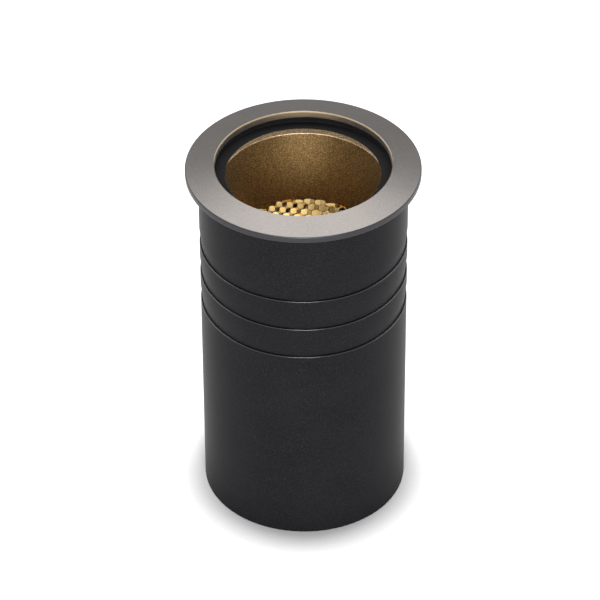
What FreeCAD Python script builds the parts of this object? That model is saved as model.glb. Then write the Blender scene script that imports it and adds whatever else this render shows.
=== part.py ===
import FreeCAD, Part
import math
import os

# In-ground well light. A sealed lamp with a flanged trim drops into a ribbed installation
# sleeve. Millimetres, +Z up. The origin is on the axis, at the level the sleeve stands on.

# ---------------------------------------------------------------- radii, from outside to inside
FLANGE_RADIUS = 37.5
FLANGE_OVERHANG = 4.1       # past the sleeve
SLEEVE_WALL = 1.7
LAMP_CLEARANCE = 0.3        # between the sleeve's bore and the widest part of the lamp
SKIRT_WALL = 1.2
HOUSING_RELIEF = 0.4        # the housing's barrel is this much slimmer than the trim's skirt
HOUSING_WALL = 3.7
NECK_WALL = 1.6             # round the cup's rim
TRIM_LIP = 1.8              # from the skirt's thread in to the trim's bore
BORDER_WIDTH = 5.14

# ---------------------------------------------------------------- clearances
BODY_GAP = 0.3              # between the lamp's seat and the sleeve
ASSEMBLY_GAP = 0.3          # where two fixed pieces come close without touching
FIT = 0.05                  # radial play of a piece that is located in a bore
SCREW_PLAY = 0.2            # radial play of a screw in a hole that it passes through

# ---------------------------------------------------------------- sleeve
RIB_COUNT = 3
RIB_PITCH = 11.15
RIB_DROP = 25.65            # sleeve rim to the first ledge
RIB_TAPER = 6.1             # height over which a rib draws in above its ledge
RIB_DEPTH = 0.6
RIB_ROUND = 0.22
RIM_CHAMFER = 0.4
FOOT_CHAMFER = 0.25
BASE_RECESS = 0.8
BASE_THICKNESS = 3.0
BASE_LEDGE = 1.5            # width of the inner ledge that the base is pressed against
BASE_LEDGE_HEIGHT = 1.2
CABLE_OPENING = 13.0        # radius of the opening in the sleeve base
DRAIN_COUNT = 8
DRAIN_RADIUS = 2.5
DRAIN_CIRCLE = 21.5

# ---------------------------------------------------------------- trim, gaskets and glass
FLANGE_EDGE = 2.08          # height of the flange's side wall
FLANGE_RISE = 1.75          # how far the flange's face climbs towards the bore
FLANGE_ROUND = 0.18
TRIM_CHAMFER = 0.7
RECESS_DEPTH = 4.5          # top of the trim to the glass border
THREAD_LENGTH = 8.0
TRIM_GASKET = 0.9
TRIM_GASKET_POCKET = 0.6
TRIM_GASKET_WIDTH = 1.5
POCKET_MARGIN = 0.5         # the pocket reaches this far outside the sleeve
TOP_GASKET = 0.5
TOP_GASKET_SETBACK = 0.15   # behind the wall of the trim's bore
SEAT_GASKET = 0.8
GLASS_THICKNESS = 5.0
GLASS_CHAMFER = 0.3
GLASS_BORDER = 0.08

# ---------------------------------------------------------------- glare cup and louvre
CUP_DEPTH = 22.9
CUP_DRAW = 4.5              # how much narrower the throat is than the mouth
CUP_WALL = 0.9
CUP_RIM_WIDTH = 2.45
CUP_RIM_THICKNESS = 1.0
CUP_MOUTH_ROUND = 0.35
LOUVRE_MARGIN = 0.7         # the louvre is this much wider than the cup's throat
LOUVRE_THICKNESS = 3.9
LOUVRE_PITCH = 3.5
LOUVRE_FOIL = 0.2
LOUVRE_RIM = 0.6
LOUVRE_TURN = -10.5         # degrees from +X to a row of cells
LOUVRE_SHIFT = (-0.1, -1.05)  # middle of the cell nearest to the axis, as the sheet is cut anywhere
LEAST_CELL = 0.8            # area of the smallest cut cell at the rim, in square millimetres
SNAP_RING = 1.0             # thickness
SNAP_RING_WIDTH = 1.8
SNAP_RING_GROOVE = 0.4
SNAP_RING_GAP = 24.0        # degrees left open
COLLAR_LIP = 0.8            # under the snap ring

# ---------------------------------------------------------------- optic and light source
OPTIC_GAP = 1.5             # holder top to the cup's collar
OPTIC_RADIUS = 19.0
OPTIC_FLANGE = 2.4
OPTIC_FLANGE_WIDTH = 1.0
OPTIC_BOWL = 12.2           # height of the lens under its flange
OPTIC_FOOT_RADIUS = 7.0
OPTIC_WELL_RADIUS = 5.4
OPTIC_WELL_DEPTH = 5.0
OPTIC_LIFT = 0.6            # over the LED board
HOLDER_WALL = 1.2
HOLDER_LEDGE = 0.9
HOLDER_LEDGE_HEIGHT = 1.4
HOLDER_RIM = 0.4
HOLDER_FOOT = 1.2
HOLDER_FOOT_MARGIN = 0.5    # to the housing's bore
CHIP_RADIUS = 4.5
CHIP_HEIGHT = 1.4
CHIP_BASE = 5.0             # half the side of the chip's square substrate
CHIP_BASE_HEIGHT = 0.5
BOARD_MARGIN = 1.5          # the LED board is this much smaller than the lens
BOARD_THICKNESS = 1.6
PAD_THICKNESS = 0.4
BOARD_SCREW_INSET = 4.0     # from the board's edge
LEAD_RADIUS = 0.55
LEAD_SPREAD = 0.7           # half the distance between the two leads
LEAD_INSET = 3.5            # from the board's edge
LEAD_BEND = 1.5
LEAD_RISE = 1.0             # over the LED board, to the start of the bend
LEAD_HOLE = 2.2
HEAT_SINK_THICKNESS = 7.2
FIN_COUNT = 8
FIN_PITCH = 4.2
FIN_THICKNESS = 1.4
FIN_LENGTH = 8.0

# ---------------------------------------------------------------- housing and driver
PARTITION = 4.0
PARTITION_WIDTH = 7.3       # from the housing's bore in to the opening
DRIVER_BAY = 38.0
GROOVE_COUNT = 24
GROOVE_WIDTH = 2.4
GROOVE_DEPTH = 1.6
GROOVE_MARGIN = 14.0        # from each end of the barrel
GRIP_CORD = 0.8             # radius of a grip ring's section
GRIP_PLACE = 7.0            # from each end of the barrel
DRIVER_BOARD_MARGIN = 1.0
DRIVER_BOARD_THICKNESS = 1.6
STANDOFF_LENGTH = 12.4
STANDOFF_FLATS = 5.0
STANDOFF_STUD = 3.0
STANDOFF_INSET = 4.0        # from the housing's bore
SCREW_END_GAP = 1.0         # metal left past the end of a blind screw
TRANSFORMER = (16.0, 14.0, 12.0)
TRANSFORMER_CORE = (11.2, 9.8)
TRANSFORMER_CHEEK = 2.4
TRANSFORMER_PLACE = (0.0, 3.0)
CAPACITOR_RADIUS = 5.0
CAPACITOR_HEIGHT = 14.0
CAPACITOR_ROUND = 0.5
CAPACITOR_PLACES = ((-13.0, -10.0), (13.0, -10.0))
INDUCTOR_RADIUS = 5.2
INDUCTOR_WAIST = 3.6
INDUCTOR_HEIGHT = 9.0
INDUCTOR_CHEEK = 1.2
INDUCTOR_GAP = 1.3          # to the transformer
TERMINAL_BLOCK = (15.0, 9.0, 10.0)
TERMINAL_EDGE = 3.8         # from the driver board's edge
TERMINAL_WAYS = 3
TERMINAL_ENTRY = 1.5

# ---------------------------------------------------------------- end cap, gland and vent
CAP_THICKNESS = 4.0
SPIGOT_LENGTH = 6.0
SPIGOT_WALL = 2.7
SEAL_CORD = 0.8             # radius of the end cap ring's section
CAP_SCREW_COUNT = 4
CAP_SCREW_INSET = 1.6       # from the housing's bore to the screw circle
GLAND_THREAD = 6.0
GLAND_BORE = 3.8
GLAND_SEAL_BORE = 3.1
GLAND_SEAL_RADIUS = 4.8
GLAND_FLATS = 16.0
GLAND_HEX_HEIGHT = 3.0
GLAND_WASHER = 1.0
GLAND_TAIL = 4.5            # thread that the gland nut screws on
GLAND_NUT_WALL = 1.9
GLAND_NUT_GAP = 0.2
GLAND_NUT_FLATS = 15.0
LOCKNUT_FLATS = 17.0
LOCKNUT_HEIGHT = 3.0
THREAD_END = 1.0            # thread that stands out past the locknut
NUT_FLOOR_GAP = 1.2         # gland nut over the sleeve base
VENT_INSET = 7.55           # from the inside of the cap's spigot
VENT_RADIUS = 3.0
VENT_HEAD_RADIUS = 5.0
VENT_HEAD = 2.5
VENT_NUT = 2.5
VENT_NUT_FLATS = 9.0
VENT_BORE = 1.0

# ---------------------------------------------------------------- screws: shank, head, head height
LARGE_SCREW = (1.5, 2.7, 2.4)
SMALL_SCREW = (0.95, 1.5, 1.4)
SOCKET_SHARE = 0.55         # of the head's radius and height

# ---------------------------------------------------------------- radii that follow
SLEEVE_RADIUS = FLANGE_RADIUS - FLANGE_OVERHANG
SLEEVE_BORE = SLEEVE_RADIUS - SLEEVE_WALL
SKIRT_RADIUS = SLEEVE_BORE - LAMP_CLEARANCE
THREAD_RADIUS = SKIRT_RADIUS - SKIRT_WALL
TRIM_BORE = THREAD_RADIUS - TRIM_LIP
GLASS_RADIUS = THREAD_RADIUS - ASSEMBLY_GAP
BORDER_BORE = GLASS_RADIUS - BORDER_WIDTH
BARREL_RADIUS = SKIRT_RADIUS - HOUSING_RELIEF
HOUSING_BORE = BARREL_RADIUS - HOUSING_WALL
PARTITION_BORE = HOUSING_BORE - PARTITION_WIDTH
CUP_SEAT_BORE = THREAD_RADIUS - NECK_WALL
CUP_RIM_RADIUS = CUP_SEAT_BORE - FIT
CUP_MOUTH = CUP_RIM_RADIUS - CUP_RIM_WIDTH
CUP_THROAT = CUP_MOUTH - CUP_DRAW
LOUVRE_RADIUS = CUP_THROAT + LOUVRE_MARGIN
COLLAR_BORE = LOUVRE_RADIUS + FIT
HOLDER_BORE = OPTIC_RADIUS + FIT
HOLDER_RADIUS = HOLDER_BORE + HOLDER_WALL
SINK_SCREW_CIRCLE = (HOLDER_RADIUS + HOUSING_BORE) / 2
STANDOFF_CIRCLE = HOUSING_BORE - STANDOFF_INSET
BOARD_RADIUS = OPTIC_RADIUS - BOARD_MARGIN
BOARD_SCREW_CIRCLE = BOARD_RADIUS - BOARD_SCREW_INSET
LEAD_PLACE = BOARD_RADIUS - LEAD_INSET
DRIVER_BOARD_RADIUS = HOUSING_BORE - DRIVER_BOARD_MARGIN
SPIGOT_RADIUS = HOUSING_BORE - FIT
SPIGOT_BORE = SPIGOT_RADIUS - SPIGOT_WALL

# ---------------------------------------------------------------- levels, from the foot upwards
BASE_TOP = BASE_RECESS + BASE_THICKNESS
GLAND_NUT_FOOT = BASE_TOP + NUT_FLOOR_GAP
GLAND_TAIL_FOOT = GLAND_NUT_FOOT + GLAND_NUT_WALL + GLAND_NUT_GAP
GLAND_HEX_FOOT = GLAND_TAIL_FOOT + GLAND_TAIL
GLAND_HEX_TOP = GLAND_HEX_FOOT + GLAND_HEX_HEIGHT
CAP_FOOT = GLAND_HEX_TOP + GLAND_WASHER
HOUSING_FOOT = CAP_FOOT + CAP_THICKNESS
LOCKNUT_TOP = HOUSING_FOOT + LOCKNUT_HEIGHT
PARTITION_FOOT = HOUSING_FOOT + DRIVER_BAY
HEAT_SINK_FOOT = PARTITION_FOOT + PARTITION
HEAT_SINK_TOP = HEAT_SINK_FOOT + HEAT_SINK_THICKNESS
BOARD_FOOT = HEAT_SINK_TOP + PAD_THICKNESS
BOARD_TOP = BOARD_FOOT + BOARD_THICKNESS
OPTIC_FOOT = BOARD_TOP + OPTIC_LIFT
OPTIC_SEAT = OPTIC_FOOT + OPTIC_BOWL
OPTIC_TOP = OPTIC_SEAT + OPTIC_FLANGE
HOLDER_TOP = OPTIC_TOP + HOLDER_RIM
COLLAR_FOOT = HOLDER_TOP + OPTIC_GAP
SNAP_RING_FOOT = COLLAR_FOOT + COLLAR_LIP
LOUVRE_FOOT = SNAP_RING_FOOT + SNAP_RING
LOUVRE_TOP = LOUVRE_FOOT + LOUVRE_THICKNESS
CUP_TOP = LOUVRE_TOP + CUP_DEPTH
CUP_SEAT = CUP_TOP - CUP_RIM_THICKNESS
GLASS_FOOT = CUP_TOP + ASSEMBLY_GAP
GLASS_TOP = GLASS_FOOT + GLASS_THICKNESS
BORDER_TOP = GLASS_TOP + GLASS_BORDER
LIP_FOOT = BORDER_TOP + TOP_GASKET
NECK_TOP = GLASS_FOOT - SEAT_GASKET
SKIRT_FOOT = NECK_TOP - THREAD_LENGTH
NECK_FOOT = SKIRT_FOOT - ASSEMBLY_GAP
TRIM_TOP = BORDER_TOP + RECESS_DEPTH
FLANGE_TOP = TRIM_TOP - FLANGE_RISE
FLANGE_FOOT = FLANGE_TOP - FLANGE_EDGE
POCKET_TOP = FLANGE_FOOT + TRIM_GASKET_POCKET
SLEEVE_TOP = POCKET_TOP - TRIM_GASKET - BODY_GAP
DRIVER_BOARD_TOP = PARTITION_FOOT - STANDOFF_LENGTH
DRIVER_BOARD_FOOT = DRIVER_BOARD_TOP - DRIVER_BOARD_THICKNESS

AXIS = FreeCAD.Vector(0, 0, 1)
ORIGIN = FreeCAD.Vector(0, 0, 0)
TOUCH = 1e-4


# ---------------------------------------------------------------- shapes that repeat
def turned(*corners):
    """A solid turned about the axis, from (radius, height) corners."""
    points = [FreeCAD.Vector(radius, 0, height) for radius, height in corners]
    face = Part.Face(Part.makePolygon(points + points[:1]))
    return face.revolve(ORIGIN, AXIS, 360)


def ring(inner, outer, foot, top):
    """A plain ring."""
    return turned((inner, foot), (outer, foot), (outer, top), (inner, top))


def post(radius, foot, top, place=(0, 0)):
    """A round post that stands at a place."""
    return Part.makeCylinder(radius, top - foot, FreeCAD.Vector(place[0], place[1], foot))


def block(size, foot, place=(0, 0)):
    """A box centred on a place, that stands at a level."""
    corner = FreeCAD.Vector(place[0] - size[0] / 2, place[1] - size[1] / 2, foot)
    return Part.makeBox(size[0], size[1], size[2], corner)


def hexagon(flats, level, place=(0, 0), turn=0.0):
    """A flat hexagon, by its width across flats."""
    corners = []
    for index in range(6):
        angle = math.radians(turn + 60 * index)
        reach = flats / math.sqrt(3)
        x = place[0] + reach * math.cos(angle)
        y = place[1] + reach * math.sin(angle)
        corners.append(FreeCAD.Vector(x, y, level))
    return Part.Face(Part.makePolygon(corners + corners[:1]))


def hex_post(flats, foot, top, place=(0, 0)):
    """A six-sided post."""
    return hexagon(flats, foot, place).extrude(AXIS * (top - foot))


def around(count, radius, start=0.0):
    """Places spread evenly round the axis."""
    angles = [math.radians(start + 360 * index / count) for index in range(count)]
    return [(radius * math.cos(angle), radius * math.sin(angle)) for angle in angles]


def cord_ring(radius, cord, level):
    """A ring of round section, by its middle radius."""
    return Part.makeTorus(radius, cord, FreeCAD.Vector(0, 0, level), AXIS)


def circles_at(shape, radius, level):
    """The circular edges of a turned shape at a radius and a level."""
    found = []
    for edge in shape.Edges:
        if not isinstance(edge.Curve, Part.Circle):
            continue
        off = abs(edge.Curve.Radius - radius) + abs(edge.Curve.Center.z - level)
        if off < TOUCH:
            found.append(edge)
    return found


def screw(kind, seat, length, place, upwards=False):
    """A socket screw whose head bears on a level. It points down, or up when driven from below."""
    shank, head, head_height = kind
    way = 1 if upwards else -1
    direction = AXIS * way
    middle = FreeCAD.Vector(place[0], place[1], seat)
    body = Part.makeCylinder(shank, length, middle, direction)
    cap = Part.makeCylinder(head, head_height, middle, direction * -1)
    socket_depth = head_height * SOCKET_SHARE
    socket_top = seat - way * head_height
    socket_foot = min(socket_top, socket_top + way * socket_depth)
    socket = hex_post(2 * head * SOCKET_SHARE, socket_foot, socket_foot + socket_depth, place)
    return body.fuse(cap).cut(socket)


def group(solids):
    """Several solids that share one node."""
    return Part.Compound(list(solids))


# ---------------------------------------------------------------- sleeve
def rib_ledges():
    """Levels of the upward ledges, from the top one down."""
    return [SLEEVE_TOP - RIB_DROP - RIB_PITCH * index for index in range(RIB_COUNT)]


def installation_sleeve():
    """Outer tube with saw-tooth ribs. Each ledge faces up and resists being pulled out."""
    root = SLEEVE_RADIUS - RIB_DEPTH
    outline = [(SLEEVE_BORE, SLEEVE_TOP), (SLEEVE_RADIUS - RIM_CHAMFER, SLEEVE_TOP)]
    outline.append((SLEEVE_RADIUS, SLEEVE_TOP - RIM_CHAMFER))
    for ledge in rib_ledges():
        outline += [(SLEEVE_RADIUS, ledge + RIB_TAPER), (root, ledge), (SLEEVE_RADIUS, ledge)]
    outline += [(SLEEVE_RADIUS, FOOT_CHAMFER), (SLEEVE_RADIUS - FOOT_CHAMFER, 0), (SLEEVE_BORE, 0)]
    ledge_bore = SLEEVE_BORE - BASE_LEDGE
    ledge_top = BASE_TOP + BASE_LEDGE_HEIGHT
    outline += [(SLEEVE_BORE, BASE_TOP), (ledge_bore, BASE_TOP)]
    outline += [(ledge_bore, ledge_top), (SLEEVE_BORE, ledge_top)]
    tube = turned(*outline)
    rounded = []
    for ledge in rib_ledges():
        rounded += circles_at(tube, SLEEVE_RADIUS, ledge) + circles_at(tube, root, ledge)
    return tube.makeFillet(RIB_ROUND, rounded)


def sleeve_base():
    """Plate pressed into the sleeve's foot, with a cable opening and drain holes."""
    plate = ring(CABLE_OPENING, SLEEVE_BORE, BASE_RECESS, BASE_TOP)
    drains = [post(DRAIN_RADIUS, BASE_RECESS, BASE_TOP, place) for place in
              around(DRAIN_COUNT, DRAIN_CIRCLE)]
    return plate.cut(group(drains))


# ---------------------------------------------------------------- trim, gaskets and glass
def trim_ring():
    """Flange with a coned face, and a skirt that screws onto the housing's neck."""
    slope = FLANGE_RISE / (FLANGE_RADIUS - TRIM_BORE)
    shoulder = TRIM_TOP - slope * TRIM_CHAMFER
    pocket = SLEEVE_RADIUS + POCKET_MARGIN
    ring_shape = turned(
        (TRIM_BORE, LIP_FOOT), (TRIM_BORE, shoulder - TRIM_CHAMFER),
        (TRIM_BORE + TRIM_CHAMFER, shoulder), (FLANGE_RADIUS, FLANGE_TOP),
        (FLANGE_RADIUS, FLANGE_FOOT), (pocket, FLANGE_FOOT), (pocket, POCKET_TOP),
        (SKIRT_RADIUS, POCKET_TOP), (SKIRT_RADIUS, SKIRT_FOOT), (THREAD_RADIUS, SKIRT_FOOT),
        (THREAD_RADIUS, LIP_FOOT))
    edges = circles_at(ring_shape, FLANGE_RADIUS, FLANGE_TOP)
    edges += circles_at(ring_shape, FLANGE_RADIUS, FLANGE_FOOT)
    return ring_shape.makeFillet(FLANGE_ROUND, edges)


def trim_gasket():
    """Flat ring in the flange's pocket, over the sleeve's rim."""
    outer = SLEEVE_RADIUS
    return ring(outer - TRIM_GASKET_WIDTH, outer, POCKET_TOP - TRIM_GASKET, POCKET_TOP)


def glass_top_gasket():
    """Ring between the trim's lip and the glass."""
    return ring(TRIM_BORE + TOP_GASKET_SETBACK, GLASS_RADIUS, BORDER_TOP, LIP_FOOT)


def front_glass():
    """Toughened glass disc with ground edges."""
    edge = GLASS_RADIUS - GLASS_CHAMFER
    return turned((0, GLASS_FOOT), (edge, GLASS_FOOT), (GLASS_RADIUS, GLASS_FOOT + GLASS_CHAMFER),
                  (GLASS_RADIUS, GLASS_TOP - GLASS_CHAMFER), (edge, GLASS_TOP), (0, GLASS_TOP))


def glass_border():
    """Opaque printed ring on the glass."""
    return ring(BORDER_BORE, GLASS_RADIUS - GLASS_CHAMFER, GLASS_TOP, BORDER_TOP)


def glass_seat_gasket():
    """Ring between the housing's neck and the glass."""
    return ring(CUP_SEAT_BORE, GLASS_RADIUS, NECK_TOP, GLASS_FOOT)


# ---------------------------------------------------------------- glare cup and louvre
def glare_cup():
    """Cone with a flat rim, and a collar under it for the louvre."""
    collar = COLLAR_BORE + CUP_WALL
    shoulder = LOUVRE_TOP + CUP_WALL
    cup = turned(
        (CUP_MOUTH, CUP_TOP), (CUP_RIM_RADIUS, CUP_TOP), (CUP_RIM_RADIUS, CUP_SEAT),
        (CUP_MOUTH + CUP_WALL, CUP_SEAT), (collar, shoulder), (collar, COLLAR_FOOT),
        (COLLAR_BORE, COLLAR_FOOT), (COLLAR_BORE, LOUVRE_TOP), (CUP_THROAT, LOUVRE_TOP))
    groove = ring(COLLAR_BORE, COLLAR_BORE + SNAP_RING_GROOVE, SNAP_RING_FOOT, LOUVRE_FOOT)
    cup = cup.cut(groove)
    return cup.makeFillet(CUP_MOUTH_ROUND, circles_at(cup, CUP_MOUTH, CUP_TOP))


def louvre_cells():
    """Hexagons on a triangular grid, cut off at the louvre's rim."""
    inside = LOUVRE_RADIUS - LOUVRE_RIM
    limit = Part.Face(Part.Wire(Part.makeCircle(inside, FreeCAD.Vector(0, 0, LOUVRE_FOOT))))
    flats = LOUVRE_PITCH - LOUVRE_FOIL
    steps = math.ceil(inside / LOUVRE_PITCH) + 1
    cells = []
    for row in range(-steps, steps + 1):
        for column in range(-steps, steps + 1):
            along = LOUVRE_PITCH * (column + row / 2)
            across = LOUVRE_PITCH * row * math.sqrt(3) / 2
            turn = math.radians(LOUVRE_TURN)
            x = LOUVRE_SHIFT[0] + along * math.cos(turn) - across * math.sin(turn)
            y = LOUVRE_SHIFT[1] + along * math.sin(turn) + across * math.cos(turn)
            reach = math.hypot(x, y)
            if reach > inside + LOUVRE_PITCH:
                continue
            cell = hexagon(flats, LOUVRE_FOOT, (x, y), LOUVRE_TURN + 30)
            if reach > inside - LOUVRE_PITCH:
                cell = cell.common(limit)
            if cell.Area > LEAST_CELL:
                cells += cell.Faces
    return cells


def honeycomb_louvre():
    """Disc of open hexagon cells."""
    middle = FreeCAD.Vector(0, 0, LOUVRE_FOOT)
    disc = Part.Face(Part.Wire(Part.makeCircle(LOUVRE_RADIUS, middle)))
    holed = disc.cut(group(louvre_cells()))
    return holed.Faces[0].extrude(AXIS * LOUVRE_THICKNESS)


def louvre_snap_ring():
    """Open ring sprung into the collar's groove under the louvre."""
    outer = COLLAR_BORE + SNAP_RING_GROOVE
    whole = ring(outer - SNAP_RING_WIDTH, outer, SNAP_RING_FOOT, LOUVRE_FOOT)
    wedge = Part.makeCylinder(outer * 2, SNAP_RING, FreeCAD.Vector(0, 0, SNAP_RING_FOOT), AXIS,
                              SNAP_RING_GAP)
    return whole.cut(wedge)


# ---------------------------------------------------------------- optic and light source
def optic_lens():
    """Lens with a well over the light source. It hangs by its flange."""
    bowl = OPTIC_RADIUS - OPTIC_FLANGE_WIDTH
    well = OPTIC_FOOT + OPTIC_WELL_DEPTH
    return turned((OPTIC_WELL_RADIUS, OPTIC_FOOT), (OPTIC_FOOT_RADIUS, OPTIC_FOOT),
                  (bowl, OPTIC_SEAT), (OPTIC_RADIUS, OPTIC_SEAT), (OPTIC_RADIUS, OPTIC_TOP),
                  (0, OPTIC_TOP), (0, well), (OPTIC_WELL_RADIUS, well))


def optic_holder():
    """Tube that carries the lens, with a foot that the heat sink screws clamp."""
    ledge_bore = HOLDER_BORE - HOLDER_LEDGE
    foot_radius = HOUSING_BORE - HOLDER_FOOT_MARGIN
    foot_top = HEAT_SINK_TOP + HOLDER_FOOT
    holder = turned(
        (HOLDER_BORE, HEAT_SINK_TOP), (foot_radius, HEAT_SINK_TOP), (foot_radius, foot_top),
        (HOLDER_RADIUS, foot_top), (HOLDER_RADIUS, HOLDER_TOP), (HOLDER_BORE, HOLDER_TOP),
        (HOLDER_BORE, OPTIC_SEAT), (ledge_bore, OPTIC_SEAT),
        (ledge_bore, OPTIC_SEAT - HOLDER_LEDGE_HEIGHT),
        (HOLDER_BORE, OPTIC_SEAT - HOLDER_LEDGE_HEIGHT))
    holes = [post(SMALL_SCREW[0] + SCREW_PLAY, HEAT_SINK_TOP, foot_top, place)
             for place in sink_screw_places()]
    return holder.cut(group(holes))


def led_chip():
    """Light source: a square substrate with a round lit face."""
    side = 2 * CHIP_BASE
    substrate = block((side, side, CHIP_BASE_HEIGHT), BOARD_TOP)
    face_top = BOARD_TOP + CHIP_HEIGHT
    lit = post(CHIP_RADIUS, BOARD_TOP, face_top)
    lit = lit.makeFillet(CHIP_BASE_HEIGHT, circles_at(lit, CHIP_RADIUS, face_top))
    return substrate.fuse(lit)


def lead_gap(foot, top):
    """The hole that the LED leads pass through."""
    return post(LEAD_HOLE, foot, top, (0, -LEAD_PLACE))


def board_screw_places():
    return around(2, BOARD_SCREW_CIRCLE)


def led_board():
    """Round board that carries the light source."""
    board = post(BOARD_RADIUS, BOARD_FOOT, BOARD_TOP)
    holes = [post(LARGE_SCREW[0] + SCREW_PLAY, BOARD_FOOT, BOARD_TOP, place)
             for place in board_screw_places()]
    return board.cut(group(holes + [lead_gap(BOARD_FOOT, BOARD_TOP)]))


def led_board_screws():
    """Screws that hold the board and its pad to the heat sink."""
    length = BOARD_THICKNESS + PAD_THICKNESS + HEAT_SINK_THICKNESS / 2
    return group(screw(LARGE_SCREW, BOARD_TOP, length, place) for place in board_screw_places())


def thermal_pad():
    """Soft pad between the board and the heat sink."""
    pad = post(BOARD_RADIUS, HEAT_SINK_TOP, BOARD_FOOT)
    holes = [post(LARGE_SCREW[0] + SCREW_PLAY, HEAT_SINK_TOP, BOARD_FOOT, place)
             for place in board_screw_places()]
    return pad.cut(group(holes + [lead_gap(HEAT_SINK_TOP, BOARD_FOOT)]))


def led_lead(x):
    """One insulated lead: up from the driver board, over a bend and down to the LED board."""
    bend_level = BOARD_TOP + LEAD_RISE
    far = -LEAD_PLACE
    near = far + 2 * LEAD_BEND
    start = FreeCAD.Vector(x, far, DRIVER_BOARD_TOP)
    rise = FreeCAD.Vector(x, far, bend_level)
    crown = FreeCAD.Vector(x, far + LEAD_BEND, bend_level + LEAD_BEND)
    fall = FreeCAD.Vector(x, near, bend_level)
    end = FreeCAD.Vector(x, near, BOARD_TOP)
    path = Part.Wire([Part.LineSegment(start, rise).toShape(),
                      Part.Arc(rise, crown, fall).toShape(),
                      Part.LineSegment(fall, end).toShape()])
    section = Part.Wire(Part.makeCircle(LEAD_RADIUS, start, AXIS))
    return path.makePipeShell([section], True, False)


def led_leads():
    """The pair of leads from the driver to the light source."""
    return group(led_lead(x) for x in (-LEAD_SPREAD, LEAD_SPREAD))


def sink_screw_places():
    return around(3, SINK_SCREW_CIRCLE)


def heat_sink():
    """Disc on the housing's partition, with plate fins that hang through it."""
    radius = HOUSING_BORE - FIT
    plug = PARTITION_BORE - ASSEMBLY_GAP
    disc = post(radius, HEAT_SINK_FOOT, HEAT_SINK_TOP)
    fin_foot = HEAT_SINK_FOOT - FIN_LENGTH
    fins = []
    for index in range(FIN_COUNT):
        x = FIN_PITCH * (index - (FIN_COUNT - 1) / 2)
        fins.append(block((FIN_THICKNESS, 2 * plug, FIN_LENGTH), fin_foot, (x, 0)))
    fins = post(plug, fin_foot, HEAT_SINK_FOOT).common(group(fins))
    holes = [post(SMALL_SCREW[0] + SCREW_PLAY, HEAT_SINK_FOOT, HEAT_SINK_TOP, place)
             for place in sink_screw_places()]
    holes += [post(LARGE_SCREW[0], HEAT_SINK_TOP - HEAT_SINK_THICKNESS / 2, HEAT_SINK_TOP, place)
              for place in board_screw_places()]
    holes.append(lead_gap(HEAT_SINK_FOOT, HEAT_SINK_TOP))
    return disc.cut(group(holes)).fuse(fins)


def heat_sink_screws():
    """Screws through the holder's foot and the heat sink into the partition."""
    length = HOLDER_FOOT + HEAT_SINK_THICKNESS + PARTITION - SCREW_END_GAP
    seat = HEAT_SINK_TOP + HOLDER_FOOT
    return group(screw(SMALL_SCREW, seat, length, place) for place in sink_screw_places())


# ---------------------------------------------------------------- housing and driver
def grip_levels():
    """Levels of the two grip rings on the barrel."""
    return (HOUSING_FOOT + GRIP_PLACE, NECK_FOOT - GRIP_PLACE)


def standoff_places():
    return around(3, STANDOFF_CIRCLE, 60)


def cap_screw_places():
    return around(CAP_SCREW_COUNT, HOUSING_BORE + CAP_SCREW_INSET, 45)


def cooling_grooves():
    """Lengthwise grooves round the barrel."""
    foot = HOUSING_FOOT + GROOVE_MARGIN
    height = NECK_FOOT - GROOVE_MARGIN - foot
    grooves = []
    for index in range(GROOVE_COUNT):
        cut = block((2 * GROOVE_DEPTH, GROOVE_WIDTH, height), foot, (BARREL_RADIUS, 0))
        cut.rotate(ORIGIN, AXIS, 360 * index / GROOVE_COUNT)
        grooves.append(cut)
    return grooves


def lamp_housing():
    """Cast barrel with a threaded neck, a seat for the cup and a partition for the heat sink."""
    housing = turned(
        (HOUSING_BORE, HOUSING_FOOT), (BARREL_RADIUS, HOUSING_FOOT), (BARREL_RADIUS, NECK_FOOT),
        (THREAD_RADIUS, NECK_FOOT), (THREAD_RADIUS, NECK_TOP), (CUP_SEAT_BORE, NECK_TOP),
        (CUP_SEAT_BORE, CUP_SEAT), (HOUSING_BORE, CUP_SEAT), (HOUSING_BORE, HEAT_SINK_FOOT),
        (PARTITION_BORE, HEAT_SINK_FOOT), (PARTITION_BORE, PARTITION_FOOT),
        (HOUSING_BORE, PARTITION_FOOT))
    cuts = cooling_grooves()
    for level in grip_levels():
        cuts.append(ring(SKIRT_RADIUS - 2 * GRIP_CORD, SKIRT_RADIUS, level - GRIP_CORD,
                         level + GRIP_CORD))
    cuts += [post(SMALL_SCREW[0], PARTITION_FOOT, HEAT_SINK_FOOT, place)
             for place in sink_screw_places()]
    cuts += [post(LARGE_SCREW[0], PARTITION_FOOT, HEAT_SINK_FOOT, place)
             for place in standoff_places()]
    cuts += [post(SMALL_SCREW[0], HOUSING_FOOT, HOUSING_FOOT + SPIGOT_LENGTH, place)
             for place in cap_screw_places()]
    return housing.cut(group(cuts))


def grip_rings():
    """Rubber rings that stand out to the skirt's radius and steady the lamp in the sleeve."""
    return group(cord_ring(SKIRT_RADIUS - GRIP_CORD, GRIP_CORD, level) for level in grip_levels())


def driver_board():
    """Round board under the partition."""
    board = post(DRIVER_BOARD_RADIUS, DRIVER_BOARD_FOOT, DRIVER_BOARD_TOP)
    holes = [post(SMALL_SCREW[0] + SCREW_PLAY, DRIVER_BOARD_FOOT, DRIVER_BOARD_TOP, place)
             for place in standoff_places()]
    return board.cut(group(holes))


def driver_screw_length():
    return DRIVER_BOARD_THICKNESS + STANDOFF_LENGTH / 2


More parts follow.
